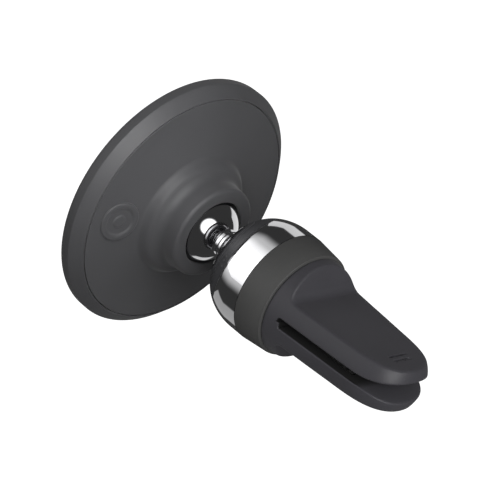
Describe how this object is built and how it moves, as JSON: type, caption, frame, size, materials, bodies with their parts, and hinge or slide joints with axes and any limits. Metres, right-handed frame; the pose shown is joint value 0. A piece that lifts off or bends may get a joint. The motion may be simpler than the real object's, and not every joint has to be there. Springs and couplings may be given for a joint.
{
  "type": "car phone mount",
  "caption": "Magnetic phone mount: round soft-touch disc on a chrome ball joint, dark chrome dome and matt band, with a silicone-covered two-jaw clip for an air-vent blade.",
  "frame": {"origin": "closed end of the slot between the jaws, on the clip axis", "axes": "+Y along the clip axis towards the jaw tips, +Z out of the upper jaw's flat; the phone face looks along -Y"},
  "size_m": [0.062, 0.08, 0.062],
  "materials": {
    "soft_touch": "soft-touch matt black plastic",
    "pad_rubber": "matt silicone",
    "inner_plastic": "moulded, as struck",
    "magnet_nickel": "nickel plated",
    "zinc_steel": "zinc plated",
    "screw_steel": "bright steel",
    "spring_steel": "oiled spring steel",
    "seat_nylon": "nylon",
    "black_chrome": "dark mirror chrome",
    "matt_band": "fine matt",
    "clip_silicone": "matt silicone",
    "grip_rubber": "ribbed rubber"
  },
  "bodies": {
    "clip": {"ball_stud": "black_chrome", "nose_ring": "black_chrome", "dome_shell": "black_chrome", "dome_core": "inner_plastic", "stud_nut": "zinc_steel", "spring_washer": "spring_steel", "trim_band": "matt_band", "clip_core": "inner_plastic", "core_screws": "screw_steel", "root_sleeve": "clip_silicone", "hinge_pins": "screw_steel", "clamp_spring": "spring_steel"},
    "seat": {"ball_seat": "seat_nylon"},
    "socket_ring": {"pressure_ring": "zinc_steel"},
    "head": {"phone_pad": "pad_rubber", "front_shell": "soft_touch", "magnet_carrier": "inner_plastic", "magnet_ring": "magnet_nickel", "steel_yoke": "zinc_steel", "cover_screws": "screw_steel", "back_cover": "soft_touch", "badge_plug": "soft_touch", "socket_base": "inner_plastic", "wave_spring": "spring_steel"},
    "upper_jaw": {"upper_jaw": "inner_plastic", "upper_sleeve": "clip_silicone", "upper_grip": "grip_rubber"},
    "lower_jaw": {"lower_jaw": "inner_plastic", "lower_sleeve": "clip_silicone", "lower_grip": "grip_rubber"}
  },
  "joints": [
    {"name": "head_tilt", "type": "hinge", "parent": "clip", "child": "seat", "pos_m": [0, -0.0386, 0], "axis": [1, 0, 0], "range_deg": [-25, 25]},
    {"name": "head_pan", "type": "hinge", "parent": "seat", "child": "socket_ring", "pos_m": [0, -0.0386, 0], "axis": [0, 0, 1], "range_deg": [-25, 25]},
    {"name": "head_spin", "type": "hinge", "parent": "socket_ring", "child": "head", "pos_m": [0, -0.0386, 0], "axis": [0, 1, 0], "continuous": true},
    {"name": "jaw_open", "type": "hinge", "parent": "clip", "child": "upper_jaw", "pos_m": [0, -0.003, 0.0039], "axis": [1, 0, 0], "range_deg": [0, 3.5], "stiffness_Nm_per_rad": 0.3, "springref_deg": -11.46},
    {"name": "lower_jaw_open", "type": "hinge", "parent": "clip", "child": "lower_jaw", "pos_m": [0, -0.003, -0.0039], "axis": [1, 0, 0], "range_deg": [-3.5, 0], "stiffness_Nm_per_rad": 0.3, "springref_deg": 11.46}
  ],
  "couplings": [
    {"joint": "lower_jaw_open", "follows": "jaw_open", "ratio": -1}
  ]
}
